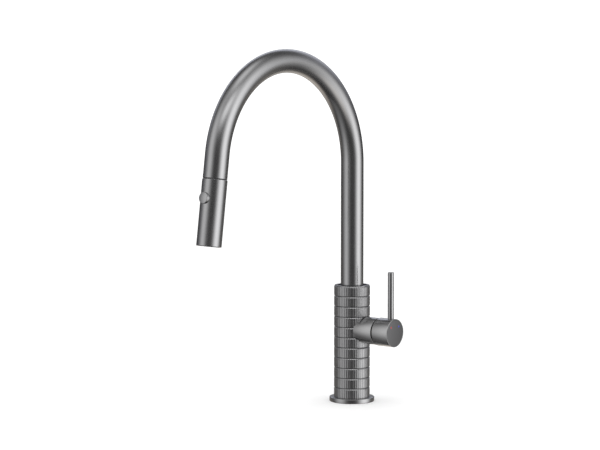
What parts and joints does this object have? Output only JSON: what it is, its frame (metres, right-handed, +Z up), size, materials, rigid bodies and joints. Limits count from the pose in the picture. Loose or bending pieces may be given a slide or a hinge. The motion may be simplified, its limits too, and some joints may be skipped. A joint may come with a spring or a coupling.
{
  "type": "pull down kitchen faucet",
  "caption": "Single-hole mixer tap: banded round column, side lever, swivelling gooseneck spout and a spray head that pulls down on a hose.",
  "frame": {"origin": "centre of the flange's underside, on the worktop's top face", "axes": "+Z up along the column, -Y towards the spout's outlet, +X along the valve to the lever's hub"},
  "size_m": [0.09, 0.2836, 0.5005],
  "materials": {
    "gunmetal": "satin gunmetal plating with a fine brushed grain",
    "dark_metal": "dark satin plating",
    "brass": "machined brass",
    "steel": "plain stainless steel",
    "black_plastic": "moulded black plastic",
    "white_plastic": "moulded white plastic",
    "black_rubber": "matt black rubber",
    "white_ceramic": "polished ceramic",
    "nylon_braid": "braided nylon over a hose",
    "hot_red": "red enamel",
    "cold_blue": "blue enamel"
  },
  "bodies": {
    "root": {"deck_flange": "gunmetal", "flange_seal": "black_rubber", "shank": "brass", "body_column": "gunmetal", "valve_block": "brass", "valve_housing": "gunmetal", "bonnet_ring": "dark_metal", "retaining_nut": "brass", "cartridge_case": "white_plastic", "cartridge_base": "white_plastic", "port_seals": "black_rubber", "fixed_disc": "white_ceramic", "lower_bearing": "white_plastic", "upper_bearing": "white_plastic", "top_ring": "dark_metal", "spout_screw": "dark_metal"},
    "deck_clamp": {"deck_washer": "black_rubber", "clamp_washer": "steel", "mounting_nut": "brass", "clamp_screws": "steel"},
    "spout": {"spout_tube": "gunmetal", "spout_socket": "gunmetal", "spout_stub": "brass", "dock_collar": "black_plastic", "dock_magnet": "dark_metal", "pull_hose": "nylon_braid", "tail_ferrule": "steel", "tail_fitting": "brass"},
    "hose_end": {"hose_ferrule": "steel", "swivel_ball": "brass"},
    "spray_head": {"swivel_nut": "dark_metal", "head_keeper": "dark_metal", "head_shell": "gunmetal", "head_core": "black_plastic", "filter_washer": "black_rubber", "check_valve": "white_plastic", "nozzle_mat": "black_rubber", "spray_face": "dark_metal", "aerator": "steel"},
    "spray_button": {"button_cap": "gunmetal", "button_stem": "brass", "button_seals": "black_rubber", "button_spring": "steel"},
    "mixer_rotor": {"cartridge_rotor": "white_plastic", "pivot_pin": "steel"},
    "mixer_disc": {"disc_carrier": "black_plastic", "moving_disc": "white_ceramic"},
    "handle": {"spindle": "brass", "handle_hub": "gunmetal", "hub_face": "gunmetal", "handle_lever": "gunmetal", "grub_screw": "dark_metal", "hot_mark": "hot_red", "cold_mark": "cold_blue"}
  },
  "joints": [
    {"name": "clamp_height", "type": "slide", "parent": "root", "child": "deck_clamp", "axis": [0, 0, -1], "range_m": [-0.028, 0.012]},
    {"name": "spout_swivel", "type": "hinge", "parent": "root", "child": "spout", "pos_m": [0, 0, 0.1], "axis": [0, 0, 1], "continuous": true},
    {"name": "head_pull", "type": "slide", "parent": "spout", "child": "hose_end", "axis": [0, -0.1392, -0.9903], "range_m": [0, 0.18], "stiffness_N_per_m": 8, "springref_m": -0.8, "deforming": ["pull_hose"]},
    {"name": "head_swivel", "type": "hinge", "parent": "hose_end", "child": "spray_head", "pos_m": [0, -0.23243, 0.26525], "axis": [0, -0.1392, -0.9903], "continuous": true},
    {"name": "spray_press", "type": "slide", "parent": "spray_head", "child": "spray_button", "axis": [0, 0.9903, -0.1392], "range_m": [0, 0.0018], "stiffness_N_per_m": 500, "springref_m": -0.004, "deforming": ["button_spring"]},
    {"name": "temperature", "type": "hinge", "parent": "root", "child": "mixer_rotor", "pos_m": [0.03, 0, 0.0835], "axis": [1, 0, 0], "range_deg": [-50, 50]},
    {"name": "flow", "type": "hinge", "parent": "mixer_rotor", "child": "handle", "pos_m": [0.03, 0, 0.0835], "axis": [0, 1, 0], "range_deg": [0, 25]},
    {"name": "disc_slide", "type": "slide", "parent": "mixer_rotor", "child": "mixer_disc", "axis": [0, 0, 1], "range_m": [0, 0.00276]}
  ],
  "couplings": [
    {"joint": "disc_slide", "follows": "flow", "m_per_rad": 0.006296}
  ]
}
